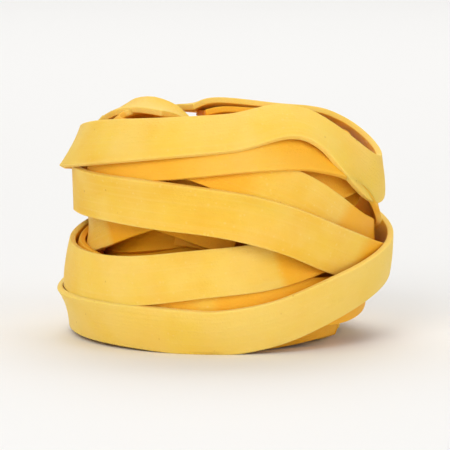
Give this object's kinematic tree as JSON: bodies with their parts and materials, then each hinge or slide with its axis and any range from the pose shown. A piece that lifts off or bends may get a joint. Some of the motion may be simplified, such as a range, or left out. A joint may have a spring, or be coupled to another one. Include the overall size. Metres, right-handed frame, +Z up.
{
  "type": "dry pasta nest",
  "caption": "Dry nest of long flat pasta ribbons, wound round one another into a rounded bundle with a shallow hollow on top and a pressed flat patch below.",
  "frame": {"origin": "on the surface the nest rests on, under the middle of its bounding box", "axes": "+Z up, out of the hollow on top; +X to the right of the front, along the longer side; the front, with the big diagonal ribbon, faces -Y"},
  "size_m": [0.0606, 0.0594, 0.0431],
  "materials": {
    "pasta": "dry durum pasta, satin matt, golden yellow with a fine drawn grain along each ribbon"
  },
  "bodies": {
    "root": {"pasta_nest": "pasta"}
  },
  "joints": []
}
